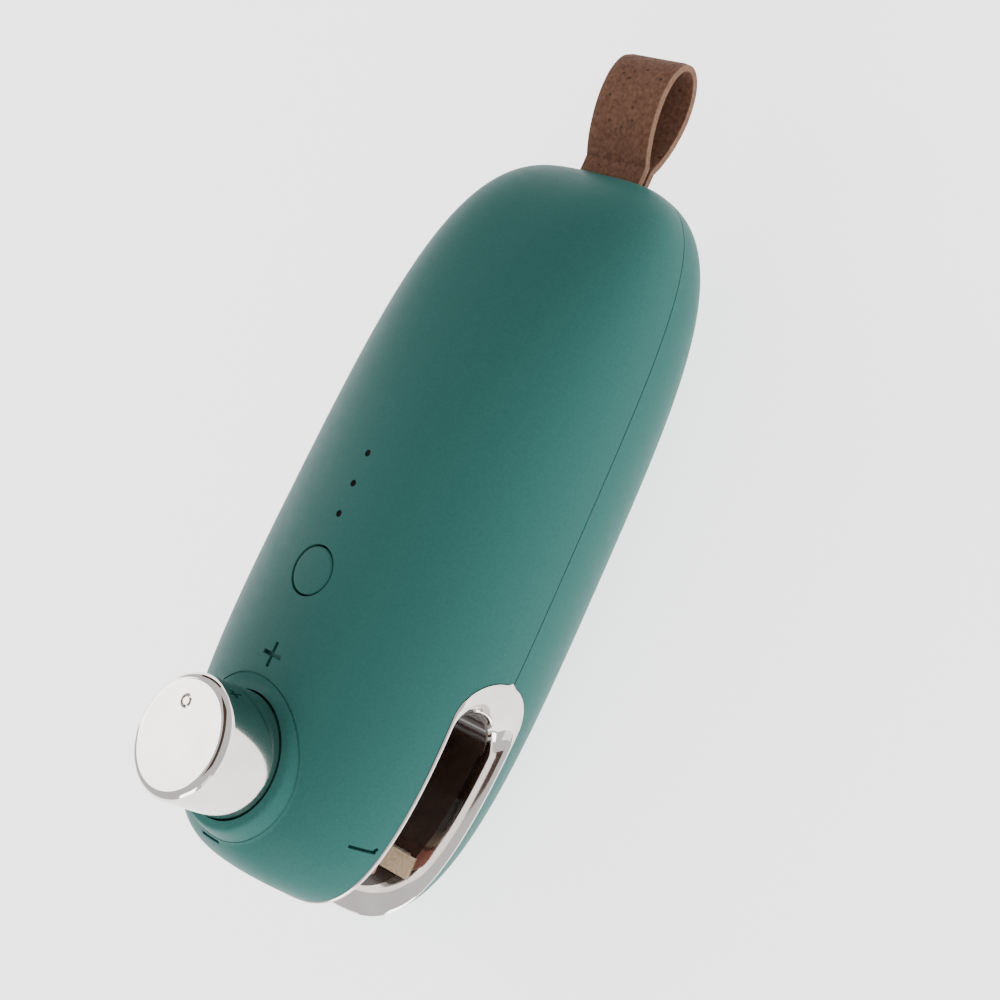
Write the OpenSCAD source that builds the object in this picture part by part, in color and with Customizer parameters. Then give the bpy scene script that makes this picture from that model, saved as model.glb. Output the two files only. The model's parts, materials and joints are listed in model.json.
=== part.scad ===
// Handheld bag heat sealer: two moulded half shells with a bag slot at the front,
// a chrome knob that presses a padded bar onto a heated strip, and a leather wrist loop.
// +Z is up, +Y points to the strap, and +X to one end of the bag slot.
// The origin lies on the flat underside of the rubber foot, straight below the body's mid length.
// Inside the modules, z is measured from the plane where the two shells meet.

/* [Body] */
// Length from the front to the tail, without the strap
body_len = 110; // [109:0.5:111]
// Widest part of the body
body_w = 45.9; // [45.5:0.1:46.5]
// Height of the body before its underside is flattened
body_h = 41.2; // [41:0.1:41.6]
// Wall of the two shells
wall = 1.8; // [1.7:0.1:1.9]
// Width that the tail loses and the front gains
taper = 0.08; // [0.07:0.01:0.09]

/* [Bag slot] */
// Half height of the slot in the shells
slot_r = 6.65; // [6.5:0.05:6.8]
// Centre of the slot's round end, measured from mid length
slot_y = -22.95; // [-23.4:0.05:-22.5]
// Angle by which the slot dips towards the front
slot_dip = 4.2; // [3.5:0.1:4.6]
// Clear height of the throat above its middle line
throat_up = 5.4; // [5.2:0.1:5.5]
// Clear height of the throat below its middle line
throat_down = 5; // [4.8:0.1:5.1]

/* [Knob] */
// Distance of the knob's axis from mid length
knob_y = -40.4; // [-40.6:0.1:-40.2]
// Radius of the knob's barrel
knob_r = 8.75; // [8.65:0.05:8.85]
// How far the knob stands above the body
knob_h = 10; // [9.6:0.1:10.4]
// How far the knob is pushed to seal a bag
press_travel = 7; // [6.6:0.1:7]

/* [Controls] */
// Distance of the power button's axis from mid length
button_y = -13.7; // [-14:0.1:-13.4]
// Radius of the power button
button_r = 3.5; // [3.4:0.1:3.6]
// Place of the middle status light
led_y = -0.8; // [-1.2:0.1:-0.4]
// Distance between two status lights
led_pitch = 4.5; // [4.3:0.1:4.7]

/* [Strap] */
// Width of the leather strap
strap_w = 11.6; // [11:0.1:12]
// Thickness of the leather
strap_t = 1.2; // [1.1:0.1:1.3]

/* [Hidden] */

// The outline in plan and the height along the body are superellipses with these powers.
plan_front = [2.7, 4.15];
plan_tail = [4.5, 4.1];
rise_front = [4.9, 4.5];
rise_tail = [2.1, 2.23];
// The cross-section is a superellipse too, and grows squarer towards the tail.
section_power = 2.17;
tail_power = 3;
stations = 26;
half_points = 20;

// The underside is cut flat, and the foot stands below the cut.
foot_cut = 1.1;
foot_t = 1.2;
seam_z = body_h / 2 - foot_cut + foot_t;

// The chrome trim and the jaws inside it, in the slot's own frame
slot_z = 0.42;
trim_proud = 0.15;
trim_depth = 3.6;
trim_fit = 0.05;
jaw_t = 1.7;
throat_end = slot_r - 5.6;
slot_cos = cos(slot_dip);

// The sealing bar, in the slot's own frame
strip_at = (-45.3 - slot_y) / slot_cos;
strip_t = 0.3;
strip_w = 3.2;
strip_l = 30.8;
ribbon_t = 0.2;
bed_w = 3.6;
bed_t = 1.2;
bed_l = 28.6;
pad_w = 3.6;
pad_l = 32;
plate_t = 1.5;
plate_gap = 0.05;
terminal_x = 12.6;
pad_bottom = strip_t - throat_down + press_travel * slot_cos + 0.05;

// The knob's column
knob_base_z = half_h(2 * knob_y / body_len, 0);
knob_top = knob_base_z + knob_h;
knob_bottom = knob_base_z - 2.8;
knob_wall = 0.9;
knob_gap = 0.2;
post_r = 4.5;
run_gap = 0.05;
key_w = 1.6;
key_d = 0.6;
bush_r = 5.6;
bush_bottom = 5;
bush_flange_z = 6.9;
bush_top = 12;
flange_z = 19.4;
flange_t = 1.2;
spring_r = 6.25;
spring_wire = 0.3;
spring_turns = 5;
selector_h = 3;
shaft_r = 1.45;

// The board and what stands on it
board_z = 10.5;
board_t = 1.2;
board_top = board_z + board_t;
board_w = 22;
board_y = [-26, 24];
screw_posts = [[12.5, 33], [15, -14.5]];
board_posts = [[8.3, -21], [8.3, 20.5]];
post_radius = 2.8;
board_post_radius = 1.9;
screw_r = 0.85;
screw_clear = 1.1;
screw_l = 12;
screw_grip = 7;
head_clear = 2.1;
board_screw_r = 0.7;

// Round openings in the upper skin, cut from this height up
skin_cut_z = 8;
button_gap = 0.15;
light_hole_r = 0.55;

// The foot's middle, width and length
foot_y = -9.5;
foot_w = 14;
foot_l = 52;

// The cell, the inlet and the strap's pin
cell_r = 9.1;
cell_l = 50;
cell_y = -13;
cell_z = -1;
usb_y = 20.5;
pin_y = 50;
pin_r = 1;
slot_half = [strap_w / 2 + 0.35, 1.7];

// ---- The body's form ----

function curve_end(u, p) = pow(max(0, 1 - pow(abs(u), p[0])), 1 / p[1]);
function half_w(u, inset) =
    (body_w / 2 * (1 - taper * u) - inset) * curve_end(u, u < 0 ? plan_front : plan_tail);
function half_h(u, inset) =
    (body_h / 2 - inset) * curve_end(u, u < 0 ? rise_front : rise_tail);
function signed_power(v, p) = sign(v) * pow(abs(v), p);
function power_at(u) = section_power + (tail_power - section_power) * pow(max(0, u), 2);
function skin_point(u, turn, inset) = [
    half_w(u, inset) * signed_power(cos(turn), 2 / power_at(u)),
    u * (body_len / 2 - inset),
    half_h(u, inset) * signed_power(sin(turn), 2 / power_at(u))
];
// Stations crowd towards both ends, where the outline turns quickly.
function station(i) =
    let (s = 2 * i / stations - 1)
    sign(s) * (1 - pow(1 - abs(s), 2.4));
function height_at(x, y, inset) =
    let (u = y / (body_len / 2 - inset))
    half_h(u, inset) * pow(1 - pow(abs(x) / half_w(u, inset), power_at(u)), 1 / power_at(u));

function tip(end, inset) = [0, end * (body_len / 2 - inset), 0];
function arc_points(inset, from, count, step) = concat(
    [tip(-1, inset)],
    [for (i = [1 : stations - 1]) for (j = [0 : count - 1]) skin_point(station(i), from + j * step, inset)],
    [tip(1, inset)]
);
// Triangles of a skin with count points at each station, from point number base on.
function skin_faces(base, count, closed) = let (
    last = base + 1 + (stations - 1) * count,
    n = closed ? count : count - 1
) concat(
    [for (j = [0 : n - 1]) [base, base + 1 + (j + 1) % count, base + 1 + j]],
    [for (i = [0 : stations - 3]) for (j = [0 : n - 1]) for (half = [0, 1]) let (
        a = base + 1 + i * count + j,
        b = base + 1 + i * count + (j + 1) % count
    ) half == 0 ? [a, b + count, a + count] : [a, b, b + count]],
    [for (j = [0 : n - 1]) [last, last - count + j, last - count + (j + 1) % count]]
);

// The whole body, inset from its skin
module body_solid(inset) {
    count = 2 * half_points;
    polyhedron(
        points = arc_points(inset, 0, count, 180 / half_points),
        faces = skin_faces(0, count, true)
    );
}

// The body's outline from above, drawn out along Z
module plan_prism(inset, height) {
    side = [for (i = [1 : stations - 1]) skin_point(station(i), 0, inset)];
    linear_extrude(height, center = true)
        polygon(concat(
            [[0, inset - body_len / 2]],
            [for (p = side) [p[0], p[1]]],
            [[0, body_len / 2 - inset]],
            [for (i = [len(side) - 1 : -1 : 0]) [-side[i][0], side[i][1]]]
        ));
}

// ---- Shared shapes ----

// A flat outline in Y and Z, drawn out along X
module along_x(length) {
    rotate([90, 0, 90])
        translate([0, 0, -length / 2])
            linear_extrude(length)
                children();
}

// The slot's own frame: its origin is the centre of the round end, and it dips to the front.
module in_slot() {
    translate([0, slot_y, slot_z])
        rotate([slot_dip, 0, 0])
            children();
}

// The slot's outline from the side: open to the front, round at its end
module slot_outline(up, down, end) {
    r = (up + down) / 2;
    translate([-body_len, -down])
        square([body_len + end - r, up + down]);
    translate([end - r, (up - down) / 2])
        circle(r, $fn = 64);
}

module rounded_bar(w, l, r) {
    square([w - 2 * r, l], center = true);
    square([w, l - 2 * r], center = true);
    for (x = [-1, 1])
        for (y = [-1, 1])
            translate([x * (w / 2 - r), y * (l / 2 - r)])
                circle(r, $fn = 32);
}

module at(x, y, z) {
    translate([x, y, z + seam_z])
        children();
}

module tube(outer, inner, h) {
    difference() {
        cylinder(h = h, r = outer, $fn = 72);
        translate([0, 0, -1])
            cylinder(h = h + 2, r = inner, $fn = 72);
    }
}

module mirrored_x() {
    children();
    mirror([1, 0, 0])
        children();
}

// An insulated wire: a tube with eight sides swept along its route
wire_sides = 8;
function unit(v) = v / norm(v);
function heading(route, i) = unit(
    (i > 0 ? unit(route[i] - route[i - 1]) : [0, 0, 0]) +
    (i < len(route) - 1 ? unit(route[i + 1] - route[i]) : [0, 0, 0])
);
function wire_ring(route, i, r) = let (
    along = heading(route, i),
    side = unit(cross([1, 1, 0.2], along)),
    rise = cross(along, side)
) [for (k = [0 : wire_sides - 1]) let (turn = 360 * k / wire_sides)
    route[i] + r * (cos(turn) * side + sin(turn) * rise)];
module wire(route, r) {
    last = (len(route) - 1) * wire_sides;
    polyhedron(
        points = [for (i = [0 : len(route) - 1]) for (p = wire_ring(route, i, r)) p],
        faces = concat(
            [[for (k = [0 : wire_sides - 1]) k]],
            [for (i = [0 : len(route) - 2]) for (k = [0 : wire_sides - 1]) for (half = [0, 1]) let (
                a = i * wire_sides + k,
                b = i * wire_sides + (k + 1) % wire_sides
            ) half == 0 ? [a, a + wire_sides, b + wire_sides] : [a, b + wire_sides, b]],
            [[for (k = [wire_sides - 1 : -1 : 0]) last + k]]
        )
    );
}

// ---- Housing ----

module bag_slot_cut() {
    in_slot()
        along_x(3 * body_w)
            slot_outline(slot_r, slot_r, slot_r);
}

module inlet_cut() {
    translate([-body_w, usb_y - 4.1, -1.2])
        cube([body_w - 16, 8.2, 3.3]);
}

module strap_slot_cut() {
    translate([-slot_half[0], body_len / 2 - wall - 3, -slot_half[1]])
        cube([2 * slot_half[0], 8, 2 * slot_half[1]]);
}

// Everything below the level z, or above it where up is true
module beyond(z, up) {
    translate([-body_w, -body_len, up ? z : z - 2 * body_h])
        cube([2 * body_w, 2 * body_len, 2 * body_h]);
}

// The body's wall, with posts of the given places and radius standing in the hollow
module hollow_body() {
    difference() {
        body_solid(0);
        difference() {
            body_solid(wall);
            children();
        }
    }
}

module at_posts(places, z) {
    for (p = places)
        for (x = [-1, 1])
            translate([x * p[0], p[1], z])
                children();
}

module upper_shell() {
    color("#3f7f75")
        at(0, 0, 0)
            difference() {
                hollow_body() {
                    at_posts(screw_posts, 0)
                        cylinder(h = body_h, r = post_radius, $fn = 48);
                    at_posts(board_posts, board_top)
                        cylinder(h = body_h, r = board_post_radius, $fn = 48);
                }
                beyond(0, false);
                bag_slot_cut();
                inlet_cut();
                strap_slot_cut();
                at_posts(screw_posts, -1)
                    cylinder(h = 9, r = screw_r, $fn = 32);
                at_posts(board_posts, board_top - 1)
                    cylinder(h = 4, r = board_screw_r, $fn = 32);
                translate([0, knob_y, skin_cut_z])
                    cylinder(h = body_h, r = knob_r + knob_gap, $fn = 96);
                translate([0, button_y, skin_cut_z])
                    cylinder(h = body_h, r = button_r + button_gap, $fn = 72);
                for (k = [-1 : 1])
                    translate([0, led_y + k * led_pitch, skin_cut_z])
                        cylinder(h = body_h, r = light_hole_r, $fn = 32);
            }
}

module lower_shell() {
    color("#4c8f88")
        at(0, 0, 0)
            difference() {
                hollow_body()
                    at_posts(screw_posts, -body_h)
                        cylinder(h = body_h, r = post_radius, $fn = 48);
                beyond(0, true);
                bag_slot_cut();
                inlet_cut();
                strap_slot_cut();
                at_posts(screw_posts, -body_h) {
                    cylinder(h = body_h + 1, r = screw_clear, $fn = 32);
                    cylinder(h = body_h - screw_l, r = head_clear, $fn = 48);
                }
                beyond(foot_cut - body_h / 2, false);
            }
}

module mouth_trim() {
    color("#d9d2cc")
        at(0, 0, 0)
            difference() {
                intersection() {
                    body_solid(-trim_proud);
                    in_slot()
                        along_x(3 * body_w)
                            difference() {
                                slot_outline(slot_r - trim_fit, slot_r - trim_fit, slot_r - trim_fit);
                                slot_outline(throat_up, throat_down, throat_end + 0.3);
                            }
                }
                plan_prism(trim_depth, body_h);
            }
}

module base_pad() {
    color("#23282a")
        translate([0, foot_y, 0])
            linear_extrude(foot_t)
                rounded_bar(foot_w, foot_l, foot_w / 2 - 0.1);
}

module housing_screws() {
    color("#9a9da0")
        for (p = screw_posts)
            for (x = [-1, 1])
                at(x * p[0], p[1], -screw_l)
                    difference() {
                        union() {
                            translate([0, 0, -1.4])
                                cylinder(h = 1.4, r = head_clear - 0.2, $fn = 48);
                            cylinder(h = screw_l, r = screw_clear - 0.05, $fn = 32);
                            translate([0, 0, screw_l])
                                cylinder(h = screw_grip, r = screw_r, $fn = 32);
                        }
                        translate([0, 0, -2])
                            cylinder(h = 1.4, r = 0.7, $fn = 6);
                    }
}

// ---- Jaws and heater ----

module jaw_channel() {
    intersection() {
        plan_prism(trim_depth + 0.1, body_h);
        in_slot()
            along_x(3 * body_w)
                difference() {
                    slot_outline(throat_up + jaw_t, throat_down + jaw_t, throat_end + jaw_t);
                    slot_outline(throat_up, throat_down, throat_end);
                }
    }
}

module upper_jaw() {
    color("#2b2320")
        at(0, 0, 0)
            difference() {
                jaw_channel();
                beyond(0.05, false);
                translate([0, knob_y, 0])
                    cylinder(h = body_h, r = bush_r + run_gap, $fn = 72);
            }
}

module terminal_holes() {
    for (x = [-1, 1])
        translate([x * terminal_x, strip_at, -body_h])
            cylinder(h = body_h, r = 0.8, $fn = 32);
}

module lower_jaw() {
    color("#3a2a24")
        at(0, 0, 0)
            difference() {
                jaw_channel();
                beyond(-0.05, true);
                in_slot() {
                    translate([-bed_l / 2 - 0.1, strip_at - bed_w / 2 - 0.1, -throat_down - bed_t])
                        cube([bed_l + 0.2, bed_w + 0.2, 3]);
                    terminal_holes();
                }
            }
}

module heater_bed() {
    color("#d8d4c8")
        at(0, 0, 0)
            in_slot()
                difference() {
                    translate([-bed_l / 2, strip_at - bed_w / 2, -throat_down - bed_t])
                        cube([bed_l, bed_w, bed_t - 0.3]);
                    terminal_holes();
                }
}

module heater_ribbon() {
    color("#8d8a86")
        at(0, 0, 0)
            in_slot()
                translate([0, strip_at, -throat_down - 0.3])
                    linear_extrude(ribbon_t)
                        rounded_bar(28, 2, 0.8);
}

module ptfe_strip() {
    color("#b39b78")
        at(0, 0, 0)
            in_slot()
                translate([-strip_l / 2, strip_at - strip_w / 2, -throat_down])
                    cube([strip_l, strip_w, strip_t]);
}

module heater_terminals() {
    color("#c9a24a")
        at(0, 0, 0)
            in_slot()
                for (x = [-1, 1])
                    translate([x * terminal_x, strip_at, -throat_down - 4]) {
                        cylinder(h = 3.7, r = 0.8, $fn = 32);
                        translate([0, 0, 0.8])
                            cylinder(h = 1.4, r = 1.6, $fn = 6);
                    }
}

module heater_leads() {
    color("#b5322b")
        at(0, 0, 0)
            mirrored_x()
                wire([
                    [12.6, -44.6, -10.9],
                    [11.5, -38, -11.2],
                    [9.5, -24, -11],
                    [9.5, -16.5, -9],
                    [9.5, -16.5, board_z]
                ], 0.6);
}

// ---- Presser and knob ----

module presser_plate() {
    back = (knob_y + 5.3 - slot_y) / slot_cos;
    front = strip_at - 2.4;
    color("#b9bcc0")
        at(0, 0, 0)
            difference() {
                in_slot()
                    translate([0, (front + back) / 2, throat_up - plate_gap - plate_t])
                        linear_extrude(plate_t)
                            rounded_bar(33, back - front, 2);
                translate([0, knob_y, -1])
                    cylinder(h = 20, r = 0.95, $fn = 32);
                translate([0, knob_y, -1])
                    cylinder(h = 4.8, r = 2, $fn = 48);
            }
}

module presser_pad() {
    color("#b8452f")
        at(0, 0, 0)
            in_slot()
                translate([0, strip_at, pad_bottom])
                    linear_extrude(throat_up - plate_gap - plate_t - pad_bottom)
                        rounded_bar(pad_l, pad_w, 0.8);
}

module presser_screw() {
    color("#9a9da0")
        at(0, knob_y, 3.8)
            difference() {
                union() {
                    translate([0, 0, -0.7])
                        cylinder(h = 0.7, r = 1.85, $fn = 48);
                    cylinder(h = 5.5, r = 0.9, $fn = 32);
                }
                translate([0, 0, -1])
                    cylinder(h = 0.8, r = 0.6, $fn = 6);
            }
}

module post_keys(gap) {
    for (x = [-1, 1])
        translate([x * (post_r + key_d / 2 - 0.5) - (key_d + 1) / 2 - gap, -key_w / 2 - gap, 0])
            cube([key_d + 1 + 2 * gap, key_w + 2 * gap, 50]);
}

module plunger_post() {
    color("#e4e2dc")
        at(0, 0, 0)
            difference() {
                translate([0, knob_y, 0]) {
                    cylinder(h = flange_z + 0.1, r = post_r, $fn = 72);
                    intersection() {
                        post_keys(0);
                        cylinder(h = flange_z, r = post_r + key_d, $fn = 72);
                    }
                    translate([0, 0, flange_z])
                        cylinder(h = flange_t, r = 7, $fn = 72);
                }
                in_slot()
                    translate([-20, -40, throat_up - plate_gap - 40])
                        cube([40, 60, 40]);
                translate([0, knob_y, 3])
                    cylinder(h = 7, r = 0.9, $fn = 32);
                translate([0, knob_y, 11])
                    cylinder(h = 20, r = 1.6, $fn = 32);
            }
}

module guide_bush() {
    color("#caa65a")
        at(0, knob_y, 0)
            difference() {
                union() {
                    translate([0, 0, bush_bottom])
                        cylinder(h = bush_top - bush_bottom, r = bush_r, $fn = 72);
                    translate([0, 0, bush_flange_z])
                        cylinder(h = 0.8, r = 7, $fn = 72);
                }
                cylinder(h = 30, r = post_r + run_gap, $fn = 72);
                post_keys(0.1);
            }
}

// Round wire swept along a helix, with a ring of six points at each step
module return_spring() {
    ring = 6;
    steps = 16 * spring_turns;
    low = bush_flange_z + 0.8 + spring_wire;
    rise = flange_z - spring_wire - low;
    pts = [for (i = [0 : steps]) for (j = [0 : ring - 1]) let (
        turn = 360 * i / 16,
        side = 360 * j / ring,
        r = spring_r + spring_wire * cos(side)
    ) [r * cos(turn), r * sin(turn), low + rise * i / steps + spring_wire * sin(side)]];
    color("#c4c6c8")
        at(0, knob_y, 0)
            polyhedron(
                points = pts,
                faces = concat(
                    [[for (j = [0 : ring - 1]) j]],
                    [for (i = [0 : steps - 1]) for (j = [0 : ring - 1]) for (half = [0, 1]) let (
                        a = i * ring + j,
                        b = i * ring + (j + 1) % ring
                    ) half == 0 ? [a, a + ring, b + ring] : [a, b + ring, b]],
                    [[for (j = [ring - 1 : -1 : 0]) steps * ring + j]]
                )
            );
}

module selector_body() {
    color("#2f4b8f")
        at(0, knob_y, flange_z + flange_t)
            difference() {
                union() {
                    cylinder(h = selector_h, r = 6.5, $fn = 72);
                    cylinder(h = selector_h + 0.6, r = 2.6, $fn = 48);
                }
                translate([0, 0, 1])
                    cylinder(h = 5, r = shaft_r + run_gap, $fn = 48);
            }
}

module selector_shaft() {
    color("#d0d0cf")
        at(0, knob_y, flange_z + flange_t + 1.1)
            difference() {
                cylinder(h = knob_top - 2.2 - flange_z - flange_t - 1.1, r = shaft_r, $fn = 48);
                translate([0.9, -3, selector_h])
                    cube([3, 6, 10]);
            }
}

module knob_hub() {
    color("#3b3d40")
        at(0, knob_y, 0)
            difference() {
                union() {
                    translate([0, 0, knob_top - 3.6])
                        cylinder(h = 2.4, r = knob_r - knob_wall, $fn = 96);
                    translate([0, 0, knob_top - 4.6])
                        cylinder(h = 2, r = 3, $fn = 48);
                }
                translate([0, 0, knob_top - 6])
                    cylinder(h = 3.8, r = shaft_r, $fn = 48);
            }
}

module knob_cap() {
    edge = 1.1;
    color("#e9e4df")
        at(0, knob_y, 0)
            difference() {
                rotate_extrude($fn = 144)
                    polygon([
                        [0, knob_top - 1.2],
                        [knob_r - knob_wall, knob_top - 1.2],
                        [knob_r - knob_wall, knob_bottom],
                        [knob_r, knob_bottom],
                        [knob_r, knob_top - edge],
                        [knob_r - 0.3 * edge, knob_top - 0.3 * edge],
                        [knob_r - edge, knob_top],
                        [0, knob_top]
                    ]);
                rotate([0, 0, 109])
                    translate([4.6, 0, knob_top - 0.25])
                        tube(0.9, 0.6, 1);
            }
}

// ---- Controls ----

module power_button() {
    face_z = height_at(0, button_y, 0) - 0.1;
    flange_top = height_at(0, button_y, wall) - 0.4;
    color("#3f7f75")
        at(0, button_y, 0) {
            translate([0, 0, flange_top - 0.1])
                cylinder(h = face_z - flange_top + 0.1, r = button_r, $fn = 72);
            translate([0, 0, flange_top - 0.8])
                cylinder(h = 0.8, r = 4.4, $fn = 72);
            translate([0, 0, 16])
                cylinder(h = flange_top - 16.7, r = 1.4, $fn = 48);
        }
}

module switch_actuator() {
    color("#1d1d1f")
        at(0, button_y, 14.5)
            cylinder(h = 1.5, r = 1.7, $fn = 48);
}

module tact_switch() {
    color("#4a4c50")
        at(0, button_y, board_top)
            difference() {
                translate([-3, -3, 0])
                    cube([6, 6, 3.3]);
                translate([0, 0, 2.2])
                    cylinder(h = 2, r = 1.8, $fn = 48);
            }
}

module light_pipes() {
    color("#6f7f7b")
        for (k = [-1 : 1])
            at(0, led_y + k * led_pitch, board_top + 0.7)
                cylinder(h = body_h / 2 - board_top - 0.8, r = 0.5, $fn = 32);
}

module status_leds() {
    color("#f2ead0")
        for (k = [-1 : 1])
            at(0, led_y + k * led_pitch, board_top)
                translate([-0.8, -0.4, 0])
                    cube([1.6, 0.8, 0.6]);
}

module main_board() {
    color("#1f6b3c")
        at(0, 0, board_z)
            difference() {
                translate([-board_w / 2, board_y[0], 0])
                    cube([board_w, board_y[1] - board_y[0], board_t]);
                for (p = board_posts)
                    for (x = [-1, 1])
                        translate([x * p[0], p[1], -1])
                            cylinder(h = 4, r = 0.95, $fn = 32);
            }
}

module board_chips() {
    color("#222326")
        at(0, 0, board_top) {
            translate([-7.5, 6, 0])
                cube([5, 5, 1]);
            translate([2.5, 7, 0])
                cube([4, 5, 1.2]);
            translate([-9.5, -8, 0])
                cube([3.4, 4.2, 1.4]);
            translate([6, -9, 0])
                cube([3, 3, 2]);
        }
}

module board_screws() {
    color("#9a9da0")
        for (p = board_posts)
            for (x = [-1, 1])
                at(x * p[0], p[1], board_z - 0.9) {
                    cylinder(h = 0.9, r = 1.5, $fn = 48);
                    cylinder(h = 5, r = board_screw_r, $fn = 32);
                }
}

// ---- Power ----

module charge_board() {
    color("#1f6b3c")
        at(0, usb_y, -2)
            translate([-19.2, -6, 0])
                cube([8.4, 12, 1]);
}

module usb_socket() {
    color("#b6b8bb")
        at(-20.9, usb_y, -1)
            difference() {
                translate([0, -3.8, 0])
                    cube([5.2, 7.6, 2.7]);
                translate([-1, -3.4, 0.4])
                    cube([5.4, 6.8, 1.9]);
            }
}

module battery_cell() {
    color("#2b6cb0")
        at(0, cell_y, cell_z)
            rotate([-90, 0, 0]) {
                cylinder(h = cell_l - 1, r = cell_r, $fn = 96);
                cylinder(h = cell_l, r = 2.8, $fn = 48);
            }
}

module battery_cradle() {
    color("#d7d9d6")
        at(0, 0, 0)
            difference() {
                union() {
                    translate([-7, -8, -13.4])
                        cube([14, 40, 2]);
                    for (y = [-8, 26])
                        translate([-10.8, y, -13.4])
                            cube([21.6, 4, 12.4]);
                    for (x = [-1, 1])
                        for (y = [-4, 20])
                            translate([x * 4, y, -16.2])
                                cylinder(h = 4, r = 1.8, $fn = 32);
                }
                translate([0, cell_y - 5, cell_z])
                    rotate([-90, 0, 0])
                        cylinder(h = cell_l + 10, r = cell_r + 0.1, $fn = 96);
            }
}

module battery_tabs() {
    color("#c8c9c6")
        for (y = [cell_y - 0.3, cell_y + cell_l])
            at(-3, y, cell_z - 3)
                cube([6, 0.3, 6]);
}

module battery_leads() {
    color("#b5322b")
        translate([0, 0, seam_z]) {
            wire([[0, -13.9, cell_z], [-4, -14.4, 6], [-4, -14.4, board_z]], 0.55);
            wire([[0, 37.9, cell_z], [5, 38, 6], [7, 30, 9.6], [7, 22.5, 9.6], [7, 22.5, board_z]], 0.55);
            wire([[-12.5, 16.5, -1], [-12.5, 16.5, 4], [-10, 16.5, 9], [-10, 16.5, board_z]], 0.55);
        }
}

// ---- Strap ----

// The strap from the side: a drop-shaped loop whose two ends run together at the neck
loop_steps = 28;
function drop(neck, tip, half) = [for (k = [0 : loop_steps - 1]) let (
    s = 360 * k / loop_steps,
    along = (1 - cos(s)) / 2
) [neck + (tip - neck) * along, half * sin(s) * pow(sin(s / 2), 0.6) + loop_lift * along]];
loop_lift = 1.3;
loop_half = 4.4;
loop_tip = 73.8;
neck_y = 56.3;
eye_r = pin_r + strap_t;

module strap() {
    color("#6d4535")
        at(0, 0, 0)
            along_x(strap_w)
                difference() {
                    polygon(concat(
                        [for (turn = [320 : -10 : 40]) [pin_y + eye_r * cos(turn), eye_r * sin(turn)]],
                        [[neck_y, strap_t]],
                        [for (p = drop(55, loop_tip, loop_half)) if (p[0] > neck_y + 0.2) p],
                        [[neck_y, -strap_t]]
                    ));
                    polygon(drop(58.8, loop_tip - strap_t, loop_half - strap_t));
                    translate([pin_y, 0])
                        circle(pin_r, $fn = 48);
                }
}

module strap_pin() {
    color("#c4c6c8")
        at(0, pin_y, 0)
            rotate([0, 90, 0])
                translate([0, 0, -8])
                    cylinder(h = 16, r = pin_r, $fn = 48);
}

module strap_anchor() {
    color("#d7d9d6")
        at(0, 0, 0)
            difference() {
                union() {
                    for (x = [-8, 6.4])
                        translate([x, 43, -5])
                            cube([1.6, 8.4, 7]);
                    translate([-8, 42, -5.6])
                        cube([16, 9, 1.4]);
                }
                translate([-12, pin_y, 0])
                    rotate([0, 90, 0])
                        cylinder(h = 24, r = pin_r, $fn = 48);
            }
}

upper_shell();
lower_shell();
mouth_trim();
upper_jaw();
lower_jaw();
heater_bed();
heater_ribbon();
ptfe_strip();
heater_terminals();
heater_leads();
presser_plate();
presser_pad();
presser_screw();
plunger_post();
guide_bush();
return_spring();
selector_body();
selector_shaft();
knob_hub();
knob_cap();
power_button();
switch_actuator();
tact_switch();
light_pipes();
status_leds();
main_board();
board_chips();
board_screws();
charge_board();
usb_socket();
battery_cell();
battery_cradle();
battery_tabs();
battery_leads();
housing_screws();
base_pad();
strap();
strap_pin();
strap_anchor();
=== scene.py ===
"""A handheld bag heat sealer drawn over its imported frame: metres, +Z up, +Y towards the strap."""
import json
import math

import bmesh
import bpy
import numpy as np
from mathutils import Matrix, Vector


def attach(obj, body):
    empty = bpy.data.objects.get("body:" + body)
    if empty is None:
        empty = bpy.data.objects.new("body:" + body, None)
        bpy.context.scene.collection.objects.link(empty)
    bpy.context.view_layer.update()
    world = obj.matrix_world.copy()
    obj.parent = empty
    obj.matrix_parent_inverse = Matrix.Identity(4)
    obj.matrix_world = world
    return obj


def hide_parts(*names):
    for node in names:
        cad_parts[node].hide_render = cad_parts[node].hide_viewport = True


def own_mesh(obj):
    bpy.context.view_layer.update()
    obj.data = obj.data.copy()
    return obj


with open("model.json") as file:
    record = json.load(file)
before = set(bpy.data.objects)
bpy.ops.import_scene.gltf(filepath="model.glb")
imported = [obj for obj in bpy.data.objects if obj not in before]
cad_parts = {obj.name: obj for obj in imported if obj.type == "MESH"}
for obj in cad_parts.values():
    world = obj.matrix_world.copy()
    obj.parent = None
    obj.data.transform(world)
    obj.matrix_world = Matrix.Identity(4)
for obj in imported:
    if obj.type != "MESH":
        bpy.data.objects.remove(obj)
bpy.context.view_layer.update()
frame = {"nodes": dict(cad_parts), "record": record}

MM = 0.001
SEAM = 20.7
NODES = frame["nodes"]

# ---------------------------------------------------------------- camera

back = Vector((0.67008, -0.07033, 0.73895)).normalized()
side = Vector((0, 0, 1)).cross(back).normalized()
rise = back.cross(side)
roll = math.radians(-60.263)
cam_x = side * math.cos(roll) + rise * math.sin(roll)
cam_y = rise * math.cos(roll) - side * math.sin(roll)
lens = bpy.data.cameras.new("camera")
lens.lens, lens.sensor_width = 76.32, 36
lens.clip_start, lens.clip_end = 0.01, 20
camera = bpy.data.objects.new("camera", lens)
bpy.context.scene.collection.objects.link(camera)
turn = Matrix((cam_x, cam_y, back)).transposed().to_4x4()
camera.matrix_world = Matrix.Translation(Vector((205.008, -14.467, 218.703 + SEAM)) * MM) @ turn
bpy.context.scene.camera = camera

# ---------------------------------------------------------------- the body's form, in mm from the seam

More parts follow.
